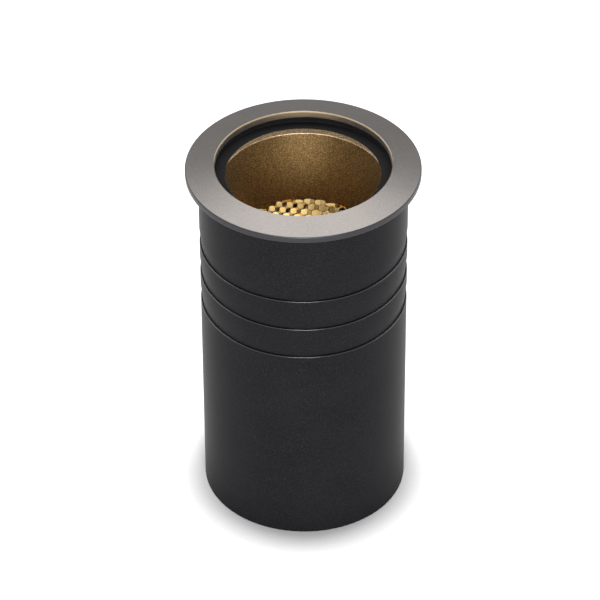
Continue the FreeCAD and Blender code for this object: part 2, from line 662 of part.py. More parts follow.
def driver_standoffs():
    """Hexagon posts screwed into the partition."""
    posts = []
    for place in standoff_places():
        column = hex_post(STANDOFF_FLATS, DRIVER_BOARD_TOP, PARTITION_FOOT, place)
        stud = post(LARGE_SCREW[0], PARTITION_FOOT, PARTITION_FOOT + STANDOFF_STUD, place)
        hole_top = DRIVER_BOARD_FOOT + driver_screw_length()
        hole = post(SMALL_SCREW[0], DRIVER_BOARD_TOP, hole_top, place)
        posts.append(column.fuse(stud).cut(hole))
    return group(posts)


def driver_screws():
    """Screws up through the driver board into the standoffs."""
    return group(screw(SMALL_SCREW, DRIVER_BOARD_FOOT, driver_screw_length(), place, upwards=True)
                 for place in standoff_places())


def under_board(height):
    """Level of the foot of a component that hangs under the driver board."""
    return DRIVER_BOARD_FOOT - height


def driver_transformer():
    """Wound core between two flanges."""
    width, depth, height = TRANSFORMER
    foot = under_board(height)
    core = block((*TRANSFORMER_CORE, height), foot, TRANSFORMER_PLACE)
    flanges = [block((width, depth, TRANSFORMER_CHEEK), level, TRANSFORMER_PLACE)
               for level in (foot, DRIVER_BOARD_FOOT - TRANSFORMER_CHEEK)]
    return core.fuse(flanges)


def driver_capacitors():
    """Round capacitors."""
    foot = under_board(CAPACITOR_HEIGHT)
    cans = []
    for place in CAPACITOR_PLACES:
        can = post(CAPACITOR_RADIUS, foot, DRIVER_BOARD_FOOT, place)
        ends = circles_at(can, CAPACITOR_RADIUS, foot) + circles_at(can, CAPACITOR_RADIUS, DRIVER_BOARD_FOOT)
        cans.append(can.makeFillet(CAPACITOR_ROUND, ends))
    return group(cans)


def driver_inductor():
    """Drum-shaped inductor."""
    foot = under_board(INDUCTOR_HEIGHT)
    drum = turned(
        (0, foot), (INDUCTOR_RADIUS, foot), (INDUCTOR_RADIUS, foot + INDUCTOR_CHEEK),
        (INDUCTOR_WAIST, foot + INDUCTOR_CHEEK),
        (INDUCTOR_WAIST, DRIVER_BOARD_FOOT - INDUCTOR_CHEEK),
        (INDUCTOR_RADIUS, DRIVER_BOARD_FOOT - INDUCTOR_CHEEK),
        (INDUCTOR_RADIUS, DRIVER_BOARD_FOOT), (0, DRIVER_BOARD_FOOT))
    middle = TRANSFORMER_PLACE[1] + TRANSFORMER[1] / 2 + INDUCTOR_GAP + INDUCTOR_RADIUS
    drum.translate(FreeCAD.Vector(TRANSFORMER_PLACE[0], middle, 0))
    return drum


def terminal_block():
    """Screw terminals for the incoming cores. The entries open downwards."""
    width, depth, height = TERMINAL_BLOCK
    foot = under_board(height)
    middle = -(DRIVER_BOARD_RADIUS - TERMINAL_EDGE - depth / 2)
    body = block(TERMINAL_BLOCK, foot, (0, middle))
    pitch = width / TERMINAL_WAYS
    entries = []
    for index in range(TERMINAL_WAYS):
        x = pitch * (index - (TERMINAL_WAYS - 1) / 2)
        entries.append(post(TERMINAL_ENTRY, foot, foot + height / 2, (x, middle)))
    return body.cut(group(entries))


# ---------------------------------------------------------------- end cap, gland and vent
def seal_level():
    return HOUSING_FOOT + SPIGOT_LENGTH / 2


def vent_place():
    return (0, SPIGOT_BORE - VENT_INSET)


def end_cap():
    """Cap screwed under the housing, with a spigot that carries the seal."""
    spigot_top = HOUSING_FOOT + SPIGOT_LENGTH
    cap = turned((0, CAP_FOOT), (BARREL_RADIUS, CAP_FOOT), (BARREL_RADIUS, HOUSING_FOOT),
                 (SPIGOT_RADIUS, HOUSING_FOOT), (SPIGOT_RADIUS, spigot_top),
                 (SPIGOT_BORE, spigot_top), (SPIGOT_BORE, HOUSING_FOOT), (0, HOUSING_FOOT))
    shank, head, head_height = SMALL_SCREW
    cuts = [ring(HOUSING_BORE - 2 * SEAL_CORD, HOUSING_BORE, seal_level() - SEAL_CORD,
                 seal_level() + SEAL_CORD)]
    for place in cap_screw_places():
        cuts.append(post(shank + SCREW_PLAY, CAP_FOOT, HOUSING_FOOT, place))
        cuts.append(post(head + FIT, CAP_FOOT, CAP_FOOT + head_height + FIT, place))
    cuts.append(post(GLAND_THREAD, CAP_FOOT, HOUSING_FOOT))
    cuts.append(post(VENT_RADIUS, CAP_FOOT, HOUSING_FOOT, vent_place()))
    return cap.cut(group(cuts))


def end_cap_oring():
    """Seal between the spigot and the housing's bore."""
    return cord_ring(HOUSING_BORE - SEAL_CORD, SEAL_CORD, seal_level())


def end_cap_screws():
    """Screws up through the cap into the housing's wall."""
    seat = CAP_FOOT + SMALL_SCREW[2] + FIT
    length = HOUSING_FOOT + SPIGOT_LENGTH - SCREW_END_GAP - seat
    return group(screw(SMALL_SCREW, seat, length, place, upwards=True)
                 for place in cap_screw_places())


def gland_body():
    """Threaded tube with a hexagon under the cap. The seal sits in its lower end."""
    thread_top = LOCKNUT_TOP + THREAD_END
    tube = post(GLAND_THREAD, GLAND_TAIL_FOOT, thread_top)
    hexagon_flange = hex_post(GLAND_FLATS, GLAND_HEX_FOOT, GLAND_HEX_TOP)
    bore = post(GLAND_BORE, GLAND_TAIL_FOOT, thread_top)
    seal_seat = post(GLAND_SEAL_RADIUS, GLAND_TAIL_FOOT, GLAND_HEX_FOOT)
    return tube.fuse(hexagon_flange).cut(group([bore, seal_seat]))


def gland_flange_seal():
    """Washer between the gland's hexagon and the cap."""
    return ring(GLAND_THREAD, GLAND_FLATS / 2, GLAND_HEX_TOP, CAP_FOOT)


def gland_locknut():
    """Nut on the gland's thread inside the cap."""
    nut = hex_post(LOCKNUT_FLATS, HOUSING_FOOT, LOCKNUT_TOP)
    return nut.cut(post(GLAND_THREAD, HOUSING_FOOT, LOCKNUT_TOP))


def gland_seal():
    """Rubber bush that closes on the cable. It stands on the nut's inner face."""
    foot = GLAND_NUT_FOOT + GLAND_NUT_WALL
    return ring(GLAND_SEAL_BORE, GLAND_SEAL_RADIUS, foot, GLAND_HEX_FOOT)


def gland_nut():
    """Nut that squeezes the seal."""
    top = GLAND_HEX_FOOT - GLAND_NUT_GAP
    inner_foot = GLAND_NUT_FOOT + GLAND_NUT_WALL
    nut = hex_post(GLAND_NUT_FLATS, GLAND_NUT_FOOT, top)
    rounding = turned((0, GLAND_NUT_FOOT), (GLAND_NUT_FLATS / 2, GLAND_NUT_FOOT),
                      (GLAND_NUT_FLATS, top), (0, top))
    bore = post(GLAND_BORE, GLAND_NUT_FOOT, inner_foot)
    thread = post(GLAND_THREAD, inner_foot, top)
    return nut.common(rounding).cut(group([bore, thread]))


def vent_plug():
    """Breather through the cap, held by its own nut, with a small bore behind its head."""
    place = vent_place()
    stem_top = HOUSING_FOOT + VENT_NUT
    head = post(VENT_HEAD_RADIUS, CAP_FOOT - VENT_HEAD, CAP_FOOT, place)
    stem = post(VENT_RADIUS, CAP_FOOT, stem_top, place)
    nut = hex_post(VENT_NUT_FLATS, HOUSING_FOOT, stem_top, place)
    bore = post(VENT_BORE, CAP_FOOT, stem_top, place)
    return head.fuse([stem, nut]).cut(bore)


# ---------------------------------------------------------------- write the pieces
PIECES = (
    installation_sleeve, sleeve_base,
    trim_ring, trim_gasket, glass_top_gasket, front_glass, glass_border, glass_seat_gasket,
    glare_cup, honeycomb_louvre, louvre_snap_ring,
    optic_lens, optic_holder, led_chip, led_board, led_board_screws, thermal_pad, led_leads,
    heat_sink, heat_sink_screws,
    lamp_housing, grip_rings, driver_board, driver_standoffs, driver_screws,
    driver_transformer, driver_capacitors, driver_inductor, terminal_block,
    end_cap, end_cap_oring, end_cap_screws,
    gland_body, gland_flange_seal, gland_locknut, gland_seal, gland_nut, vent_plug,
)

os.makedirs("parts", exist_ok=True)
for make in PIECES:
    shape = make()
    shape.exportStep("parts/" + make.__name__ + ".step")
    print(make.__name__, "valid" if shape.isValid() else "NOT VALID", len(shape.Solids),
          "solids", round(shape.Volume, 1), "mm3")
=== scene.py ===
import bmesh
import bpy
import math
import random
from mathutils import Matrix, Quaternion, Vector


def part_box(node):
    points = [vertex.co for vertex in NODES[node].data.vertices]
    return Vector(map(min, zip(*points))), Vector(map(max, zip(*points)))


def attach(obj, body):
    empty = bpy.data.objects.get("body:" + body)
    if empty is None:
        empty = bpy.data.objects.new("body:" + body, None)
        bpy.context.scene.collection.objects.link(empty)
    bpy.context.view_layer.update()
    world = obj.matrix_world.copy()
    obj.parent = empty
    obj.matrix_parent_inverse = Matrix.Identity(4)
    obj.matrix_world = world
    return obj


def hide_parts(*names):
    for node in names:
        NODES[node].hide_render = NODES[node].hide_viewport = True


# In-ground well light: a flanged trim over a bronze glare cup and a gold honeycomb louvre,
# in a black ribbed installation sleeve. Metres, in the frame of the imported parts.

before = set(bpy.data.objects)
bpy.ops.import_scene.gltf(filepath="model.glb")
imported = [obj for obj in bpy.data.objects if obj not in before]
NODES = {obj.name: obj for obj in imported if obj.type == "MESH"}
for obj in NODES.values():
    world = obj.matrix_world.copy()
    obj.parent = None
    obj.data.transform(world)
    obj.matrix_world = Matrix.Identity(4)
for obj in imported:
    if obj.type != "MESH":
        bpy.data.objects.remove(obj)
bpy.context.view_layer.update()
MM = 0.001

# ---------------------------------------------------------------- sizes
TURN_STEPS = 192            # facets round each turned piece
SHARP = math.radians(28)    # edges that fold more than this are drawn sharp
TOUCH = 1e-6                # heights and radii nearer than this are one
SPIN_MERGE = 1e-7           # joins points on the axis, and a spin's end to its start

SLEEVE_WALL = 1.7 * MM
SLEEVE_RIM_CHAMFER = 0.4 * MM
SLEEVE_FOOT_CHAMFER = 0.25 * MM
RIB_COUNT = 3
RIB_PITCH = 11.15 * MM
RIB_DROP = 25.65 * MM
RIB_TAPER = 6.1 * MM
RIB_DEPTH = 0.6 * MM
RIB_ROUND = 0.26 * MM
LEDGE_REACH = 1.3 * RIB_ROUND     # faces this near to a ledge's height belong to it and get its painted shade
BASE_LEVEL = 3.8 * MM
BASE_LEDGE = (1.5 * MM, 1.2 * MM)     # width and height

TRIM_BORE = 28.1 * MM
TRIM_RISE = 1.66 * MM
TRIM_EDGE = 2.08 * MM
TRIM_CUT_WIDTH = 0.30 * MM
TRIM_CUT_DEPTH = 0.34 * MM
TRIM_BARE_WALL = 2.30 * MM        # from the top down to the near-black wall
TRIM_ROUND = 0.28 * MM
TRIM_POCKET = (33.9 * MM, 0.6 * MM)   # radius and depth
SKIRT_RADIUS = 31.4 * MM
SKIRT_WALL = 1.2 * MM

GLASS_EDGE = 0.3 * MM
GLASS_IOR = 1.5
GLASS_GLOSS = 0.0015        # share of the light that the coating mirrors
BORDER_BORE = 24.76 * MM

CUP_MOUTH = 26.1 * MM
CUP_THROAT = 21.6 * MM
CUP_WALL = 0.9 * MM
CUP_RIM = 1.0 * MM
CUP_ROUND = 0.35 * MM
COLLAR_BORE = 22.36 * MM

CELL_PITCH = 3.5 * MM
CELL_FOIL = 0.20 * MM
CELL_DEPTH = 2.3 * MM
LOUVRE_RIM = 0.6 * MM
CELL_TURN = math.radians(-10.5)
CELL_SHIFT = Vector((-0.25 * MM, -1.05 * MM, 0))
CELL_JITTER = 0.04 * MM
CELL_SEED = 7
FOIL_MERGE = 0.01 * MM      # joins the corners that cells share
CUT_FACE = 0.5              # foil faces whose normal rises more than this are cut edges

# The lens's painted glow, strongest in its core:
LENS_PAINTED_GLOW = (1.15, 0.06)              # in the lens's bright core, and at its edge
LENS_CORE = (5.5 * MM, 17.5 * MM)     # radii at which the first ends and the second starts

FLOOR_HALF = 6                    # metres
FLOOR_GREY = 0.56
FLOOR_GLOW = 0.7
# Reach and range of the floor's painted contact shadow:
CONTACT_SHADOW = 16.5 * MM
CONTACT_RANGE = (0.596, 0.99)     # ambient occlusion at no glow, and at full glow
WORLD_SEEN = 1.0
WORLD_LIT = 0.20
LIGHT_AIM = Vector((0, 0, 0.09))
# Azimuth and elevation in degrees, distance, size and power. Azimuth -90 is the camera's side.
SOFTBOXES = {
    "overhead": (90, 63, 0.9, (1.5, 0.46), 13.2),
    "front_box": (-90, 26, 1.0, (0.42, 0.26), 10.3),
}

CAMERA_ELEVATION = math.radians(37.975)
CAMERA_DISTANCE = 1173.5 * MM
CAMERA_TARGET = Vector((-1.245 * MM, 0, 71.14 * MM))
CAMERA_ROLL = math.radians(0.309)
CAMERA_LENS = 216.45
CAMERA_SENSOR = 36.0
CAMERA_CLIP = (0.05, 30)


# ---------------------------------------------------------------- mesh tools
def finished(name, bm, body, slot, *replaced):
    """Turns a bmesh into a piece that rides on a body and stands for its CAD nodes."""
    bmesh.ops.recalc_face_normals(bm, faces=bm.faces)
    for edge in bm.edges:
        edge.smooth = len(edge.link_faces) == 2 and edge.calc_face_angle() < SHARP
    mesh = bpy.data.meshes.new(name)
    bm.to_mesh(mesh)
    bm.free()
    mesh.shade_smooth()
    piece = bpy.data.objects.new(name, mesh)
    bpy.context.scene.collection.objects.link(piece)
    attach(piece, body)
    if replaced:
        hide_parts(*replaced)
    weighted = piece.modifiers.new("flat_faces_stay_flat", "WEIGHTED_NORMAL")
    weighted.keep_sharp = True
    return piece


def coat(piece, *materials):
    """Gives a piece its materials, in the order of its faces' material indices."""
    for material in materials:
        piece.data.materials.append(material)


def turned(outline, closed=True):
    """Spins an outline of (radius, height) points about the light's axis."""
    bm = bmesh.new()
    verts = [bm.verts.new((radius, 0, height)) for radius, height in outline]
    ends = verts[1:] + verts[:1] if closed else verts[1:]
    edges = [bm.edges.new(pair) for pair in zip(verts, ends)]
    bmesh.ops.spin(bm, geom=verts + edges, cent=(0, 0, 0), axis=(0, 0, 1), angle=math.tau,
                   steps=TURN_STEPS, use_merge=True)
    bmesh.ops.remove_doubles(bm, verts=bm.verts, dist=SPIN_MERGE)
    return bm


def circle(bm, radius, height):
    """The edges of one circle of a turned shape."""
    def on(vert):
        return abs(vert.co.z - height) < TOUCH and abs(vert.co.xy.length - radius) < TOUCH
    return [edge for edge in bm.edges if on(edge.verts[0]) and on(edge.verts[1])]


def rounded(bm, radius, height, size, segments=5):
    """Rounds the edge of a turned shape at a radius and height."""
    bmesh.ops.bevel(bm, geom=circle(bm, radius, height), offset=size, offset_type="OFFSET",
                    segments=segments, profile=0.5, affect="EDGES", material=-1)


# ---------------------------------------------------------------- material tools
class Finish:
    """A procedural material on a Principled shader. Sizes are in millimetres."""

    def __init__(self, name, metallic=0.0, **sockets):
        self.material = bpy.data.materials.new(name)
        self.material.use_nodes = True
        self.tree = self.material.node_tree
        self.shader = self.tree.nodes["Principled BSDF"]
        self.shader.inputs["Metallic"].default_value = metallic
        for socket, value in sockets.items():
            self.shader.inputs[socket.replace("_", " ")].default_value = value
        self.place = self.tree.nodes.new("ShaderNodeTexCoord").outputs["Object"]

    def link(self, output, target):
        self.tree.links.new(output, target)

    def noise(self, size, detail=2.0, roughness=0.5, stretch=(1, 1, 1)):
        """Noise whose spots are about that size."""
        mapping = self.tree.nodes.new("ShaderNodeMapping")
        mapping.inputs["Scale"].default_value = stretch
        texture = self.tree.nodes.new("ShaderNodeTexNoise")
        texture.inputs["Scale"].default_value = 1 / (size * MM)
        texture.inputs["Detail"].default_value = detail
        texture.inputs["Roughness"].default_value = roughness
        self.link(self.place, mapping.inputs["Vector"])
        self.link(mapping.outputs["Vector"], texture.inputs["Vector"])
        return texture.outputs["Fac"]

    def spread(self, value, low, high, start=0.3, end=0.7):
        """Maps a value to a range."""
        node = self.tree.nodes.new("ShaderNodeMapRange")
        node.inputs["From Min"].default_value = start
        node.inputs["From Max"].default_value = end
        node.inputs["To Min"].default_value = low
        node.inputs["To Max"].default_value = high
        self.link(value, node.inputs["Value"])
        return node.outputs["Result"]

    def blend(self, factor, first, second):
        """Mixes two colours, each a colour or an output."""
        node = self.tree.nodes.new("ShaderNodeMix")
        node.data_type = "RGBA"
        self.link(factor, node.inputs[0])
        for socket, colour in ((node.inputs[6], first), (node.inputs[7], second)):
            if isinstance(colour, tuple):
                socket.default_value = (*colour, 1)
            else:
                self.link(colour, socket)
        return node.outputs[2]

    def colour(self, output):
        self.link(output, self.shader.inputs["Base Color"])

    def roughness(self, output):
        self.link(output, self.shader.inputs["Roughness"])

    def bump(self, height, depth):
        """Bump of that depth."""
        node = self.tree.nodes.new("ShaderNodeBump")
        node.inputs["Strength"].default_value = 1.0
        node.inputs["Distance"].default_value = depth * MM
        self.link(height, node.inputs["Height"])
        self.link(node.outputs["Normal"], self.shader.inputs["Normal"])


def two_tone(name, dark, light, rough, grain, depth, metallic=0.0, patch=9.0, **sockets):
    """A surface with soft patches of two tones and a fine grain."""
    finish = Finish(name, metallic, **sockets)
    patches = finish.noise(patch, 3.0)
    fine = finish.noise(grain, 2.0, 0.6)
    finish.colour(finish.blend(finish.spread(patches, 0, 1), dark, light))
    finish.roughness(finish.spread(fine, *rough))
    finish.bump(fine, depth)
    return finish.material


# ---------------------------------------------------------------- finishes of the pieces that show
def satin_black():
    """The sleeve's satin black coat: a fine grain under soft tone changes."""
    finish = Finish("sleeve_satin_black", 0.0, Specular_IOR_Level=0.038)
    patches = finish.spread(finish.noise(14.0, 3.0), 0, 1)
    fine = finish.noise(0.35, 3.0, 0.65)
    base = finish.blend(patches, (0.0102, 0.0100, 0.0112), (0.0128, 0.0125, 0.0139))
    speckle = finish.spread(fine, 0, 1, 0.50, 0.75)
    finish.colour(finish.blend(speckle, base, (0.032, 0.031, 0.036)))
    finish.roughness(finish.spread(fine, 0.36, 0.50))
    finish.bump(fine, 0.012)
    return finish.material


def ledge_painted_shade():
    """The ribs' ledges, painted near black: painted shade of a groove that the light hardly
    reaches.
    """
    finish = Finish("sleeve_rib_ledge", 0.0, Specular_IOR_Level=0.055)
    fine = finish.noise(0.45, 2.0, 0.6)
    finish.colour(finish.blend(finish.spread(fine, 0, 1),
                               (0.0014, 0.0014, 0.0015), (0.0022, 0.0021, 0.0024)))
    finish.roughness(finish.spread(fine, 0.18, 0.24))
    return finish.material


def rubbed_edge_painted_shade():
    """The ribs' outer edges, rubbed smooth by handling; their near-black colour is painted shade
    of the groove.
    """
    finish = Finish("sleeve_rib_edge", 0.0, Specular_IOR_Level=0.60)
    fine = finish.noise(0.45, 2.0, 0.6)
    finish.colour(finish.blend(finish.spread(fine, 0, 1),
                               (0.0018, 0.0018, 0.0021), (0.0028, 0.0027, 0.0032)))
    finish.roughness(finish.spread(fine, 0.20, 0.28))
    return finish.material


def anodised_trim():
    """Grey-bronze anodised flange with a fine blasted grain."""
    finish = Finish("trim_grey_bronze", 1.0)
    fine = finish.noise(0.30, 3.0, 0.6)
    patches = finish.spread(finish.noise(11.0, 2.0), 0, 1)
    base = finish.blend(patches, (0.079, 0.0730, 0.0695), (0.0875, 0.0805, 0.0760))
    finish.colour(finish.blend(finish.spread(fine, 0, 1, 0.38, 0.68), base, (0.122, 0.113, 0.107)))
    finish.roughness(finish.spread(fine, 0.31, 0.38))
    finish.bump(fine, 0.016)
    return finish.material


def cut_edge_painted_highlight():
    """The trim's inner edge, cut after blasting: smoother bare metal, lighter than the anodising,
    with a painted warm highlight in its colour.
    """
    finish = Finish("trim_cut_edge", 1.0)
    turning = finish.noise(0.5, 2.0, 0.5, (1, 1, 12))
    finish.colour(finish.blend(finish.spread(turning, 0, 1),
                               (0.45, 0.358, 0.245), (0.53, 0.428, 0.292)))
    finish.roughness(finish.spread(turning, 0.24, 0.30))
    return finish.material


def bare_wall():
    """The top of the bore's wall, blasted bare above the near-black wall."""
    finish = Finish("trim_blasted_wall", 1.0)
    fine = finish.noise(0.30, 3.0, 0.6)
    finish.colour(finish.blend(finish.spread(fine, 0, 1),
                               (0.48, 0.460, 0.430), (0.60, 0.575, 0.54)))
    finish.roughness(finish.spread(fine, 0.34, 0.40))
    finish.bump(fine, 0.010)
    return finish.material


def side_wall_painted_shade():
    """The flange's side wall: the same anodising with tool marks, coloured darker as painted
    shade.
    """
    finish = Finish("trim_side_wall", 1.0)
    fine = finish.noise(0.30, 3.0, 0.6, (1, 1, 3))
    finish.colour(finish.blend(finish.spread(fine, 0, 1),
                               (0.042, 0.042, 0.045), (0.058, 0.057, 0.060)))
    finish.roughness(finish.spread(fine, 0.36, 0.46))
    finish.bump(fine, 0.008)
    return finish.material


def near_black_bore():
    """The wall of the trim's bore below the bare band, near black."""
    return two_tone("trim_bore_black", (0.0085, 0.0085, 0.0089), (0.0112, 0.0112, 0.0117),
                    (0.45, 0.60), 0.3, 0.004, Specular_IOR_Level=0.06)


def blasted_bronze(name, metallic, tint, rough):
    """Bead-blasted bronze: a satin grain, with painted shade in its pits and painted glints on its
    sparkles.
    """
    finish = Finish(name, metallic)
    grain = finish.noise(0.40, 2.0, 0.6)
    clouds = finish.spread(finish.noise(5.0, 3.0), 0, 1)

    def shade(level):
        return tuple(level * share for share in tint)
    base = finish.blend(clouds, shade(0.92), shade(1.04))
    # Painted shade: the grain's low spots fall to 0.38 of the tint.
    pits_painted_shade = finish.blend(finish.spread(grain, 1, 0, 0.30, 0.48), base, shade(0.38))
    # Painted glints: the grain's high spots rise to 2.4 times the tint.
    finish.colour(finish.blend(finish.spread(grain, 0, 1, 0.54, 0.70), pits_painted_shade, shade(2.4)))
    finish.roughness(finish.spread(grain, *rough))
    finish.bump(grain, 0.045)
    return finish.material


def gold_foil():
    """Bright gold foil with faint rolling marks."""
    finish = Finish("louvre_gold_foil", 1.0)
    marks = finish.noise(1.6, 2.0, 0.5, (1, 1, 3))
    finish.colour(finish.blend(finish.spread(marks, 0, 1),
                               (0.90, 0.68, 0.34), (0.98, 0.77, 0.42)))
    finish.roughness(finish.spread(marks, 0.06, 0.10))
    finish.bump(marks, 0.008)
    return finish.material


def dark_foil_edges():
    """The foil's edges that face up and down, dark brown and dull."""
    finish = Finish("louvre_foil_edge", 1.0)
    marks = finish.noise(0.8, 2.0, 0.5)
    finish.colour(finish.blend(finish.spread(marks, 0, 1),
                               (0.085, 0.056, 0.026), (0.130, 0.088, 0.042)))
    finish.roughness(finish.spread(marks, 0.45, 0.60))
    return finish.material


def printed_black():
    """Fired black print on the glass."""
    return two_tone("border_black_print", (0.0095, 0.0097, 0.0105), (0.0112, 0.0114, 0.0124),
                    (0.45, 0.60), 0.25, 0.002, Specular_IOR_Level=0.02)


def anti_reflective_glass():
    """Coated clear glass, faintly smeared. It lets light through to what is behind it."""
    finish = Finish("glass_anti_reflective")
    tree = finish.tree
    bend = tree.nodes.new("ShaderNodeBsdfRefraction")
    bend.inputs["Color"].default_value = (1, 1, 1, 1)
    bend.inputs["Roughness"].default_value = 0.0
    bend.inputs["IOR"].default_value = GLASS_IOR
    shine = tree.nodes.new("ShaderNodeBsdfGlossy")
    finish.link(finish.spread(finish.noise(18.0, 3.0), 0.02, 0.06), shine.inputs["Roughness"])
    coated = tree.nodes.new("ShaderNodeMixShader")
    coated.inputs["Fac"].default_value = GLASS_GLOSS
    finish.link(bend.outputs["BSDF"], coated.inputs[1])
    finish.link(shine.outputs["BSDF"], coated.inputs[2])
    path = tree.nodes.new("ShaderNodeLightPath")
    lighting = tree.nodes.new("ShaderNodeMath")
    lighting.operation = "MAXIMUM"
    finish.link(path.outputs["Is Shadow Ray"], lighting.inputs[0])
    finish.link(path.outputs["Is Diffuse Ray"], lighting.inputs[1])
    open_way = tree.nodes.new("ShaderNodeBsdfTransparent")
    mix = tree.nodes.new("ShaderNodeMixShader")
    finish.link(lighting.outputs["Value"], mix.inputs["Fac"])
    finish.link(coated.outputs["Shader"], mix.inputs[1])
    finish.link(open_way.outputs["BSDF"], mix.inputs[2])
    finish.link(mix.outputs["Shader"], tree.nodes["Material Output"].inputs["Surface"])
    tree.nodes.remove(finish.shader)
    return finish.material


def optic_painted_glow():
    """The moulded lens, with a warm painted glow in its core: painted light that lights the louvre
    and cup from below.
    """
    finish = Finish("optic_glow", 0.0, Base_Color=(0.30, 0.31, 0.32, 1), IOR=1.49,
                    Transmission_Weight=0.2, Emission_Color=(1, 0.91, 0.71, 1))
    flat = finish.tree.nodes.new("ShaderNodeVectorMath")
    flat.operation = "MULTIPLY"
    flat.inputs[1].default_value = (1, 1, 0)
    finish.link(finish.place, flat.inputs[0])
    reach = finish.tree.nodes.new("ShaderNodeVectorMath")
    reach.operation = "LENGTH"
    finish.link(flat.outputs["Vector"], reach.inputs[0])
    glow = finish.spread(reach.outputs["Value"], *LENS_PAINTED_GLOW, *LENS_CORE)
    finish.link(glow, finish.shader.inputs["Emission Strength"])
    finish.roughness(finish.spread(finish.noise(6.0, 2.0), 0.04, 0.12))
    return finish.material


def soft_rubber():
    """Matt black rubber of the gaskets and grip rings."""
    return two_tone("rubber_black", (0.012, 0.012, 0.012), (0.020, 0.020, 0.021),
                    (0.60, 0.78), 0.5, 0.01, Specular_IOR_Level=0.25)


# ---------------------------------------------------------------- pieces
def sleeve_shell():
    """The installation sleeve, with its saw-tooth ribs, rim and inner ledge."""
    low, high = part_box("installation_sleeve")
    outer, top = high.x, high.z
    bore = outer - SLEEVE_WALL
    root = outer - RIB_DEPTH
    ledges = [top - RIB_DROP - RIB_PITCH * index for index in range(RIB_COUNT)]
    ledge_width, ledge_height = BASE_LEDGE
    outline = [(bore, top), (outer - SLEEVE_RIM_CHAMFER, top), (outer, top - SLEEVE_RIM_CHAMFER)]
    for ledge in ledges:
        outline += [(outer, ledge + RIB_TAPER), (root, ledge), (outer, ledge)]
    outline += [(outer, low.z + SLEEVE_FOOT_CHAMFER), (outer - SLEEVE_FOOT_CHAMFER, low.z)]
    outline += [(bore, low.z), (bore, BASE_LEVEL), (bore - ledge_width, BASE_LEVEL)]
    outline += [(bore - ledge_width, BASE_LEVEL + ledge_height), (bore, BASE_LEVEL + ledge_height)]
    bm = turned(outline)
    for ledge in ledges:
        rounded(bm, outer, ledge, RIB_ROUND)
        rounded(bm, root, ledge, RIB_ROUND)
    # Faces at each ledge get painted shade: index 1 the ledge and its root round, index 2 the
    # outer round.
    for face in bm.faces:
        centre = face.calc_center_median()
        if any(abs(centre.z - ledge) < LEDGE_REACH for ledge in ledges):
            face.material_index = 2 if centre.xy.length > outer - RIB_ROUND else 1
    piece = finished("sleeve_shell", bm, "sleeve", "sleeve_black", "installation_sleeve")
    coat(piece, satin_black(), ledge_painted_shade(), rubbed_edge_painted_shade())


def trim_flange():
    """The trim: coned face, thin side wall, chamfered bore and skirt."""
    low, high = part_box("trim_ring")
    outer = high.x
    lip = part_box("glass_top_gasket")[1].z
    pocket, pocket_depth = TRIM_POCKET
    pocket_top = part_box("trim_gasket")[1].z
    edge_foot = pocket_top - pocket_depth
    edge_top = edge_foot + TRIM_EDGE
    bore_top = edge_top + TRIM_RISE
    thread = SKIRT_RADIUS - SKIRT_WALL
    dark_from = bore_top - TRIM_BARE_WALL
    slope = TRIM_RISE / (outer - TRIM_BORE)
    cut_radius = TRIM_BORE + TRIM_CUT_WIDTH
    cut_top = bore_top - slope * TRIM_CUT_WIDTH
    cut_foot = cut_top - TRIM_CUT_DEPTH
    bm = turned([
        (TRIM_BORE, lip), (TRIM_BORE, dark_from), (TRIM_BORE, cut_foot), (cut_radius, cut_top),
        (outer, edge_top), (outer, edge_foot), (pocket, edge_foot), (pocket, pocket_top),
        (SKIRT_RADIUS, pocket_top), (SKIRT_RADIUS, low.z), (thread, low.z), (thread, lip)])
    rounded(bm, outer, edge_top, TRIM_ROUND)
    rounded(bm, outer, edge_foot, TRIM_ROUND)
    # Zones: 1 the cut edge with a painted highlight, 2 the side wall with painted shade, 3 the
    # near-black lower bore, 4 the bare upper bore.
    for face in bm.faces:
        centre = face.calc_center_median()
        radius = centre.xy.length
        if radius > outer - TRIM_ROUND:
            face.material_index = 2
        elif radius < cut_radius and centre.z < dark_from:
            face.material_index = 3
        elif radius < TRIM_BORE and centre.z < cut_foot:
            face.material_index = 4
        elif radius < cut_radius:
            face.material_index = 1
    piece = finished("trim_flange", bm, "lamp", "trim_anodised", "trim_ring")
    coat(piece, anodised_trim(), cut_edge_painted_highlight(), side_wall_painted_shade(), near_black_bore(), bare_wall())


def window_glass():
    """The front glass, with its ground edge."""
    low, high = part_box("front_glass")
    bm = turned([(0, low.z), (high.x, low.z), (high.x, high.z), (0, high.z)], closed=False)
    rounded(bm, high.x, low.z, GLASS_EDGE, 1)
    rounded(bm, high.x, high.z, GLASS_EDGE, 1)
    piece = finished("window_glass", bm, "lamp", "clear_glass", "front_glass")
    coat(piece, anti_reflective_glass())


def window_border():
    """The printed ring on the glass."""
    low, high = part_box("glass_border")
    bm = turned([(BORDER_BORE, low.z), (high.x, low.z), (high.x, high.z), (BORDER_BORE, high.z)])
    piece = finished("window_border", bm, "lamp", "black_print", "glass_border")
    coat(piece, printed_black())


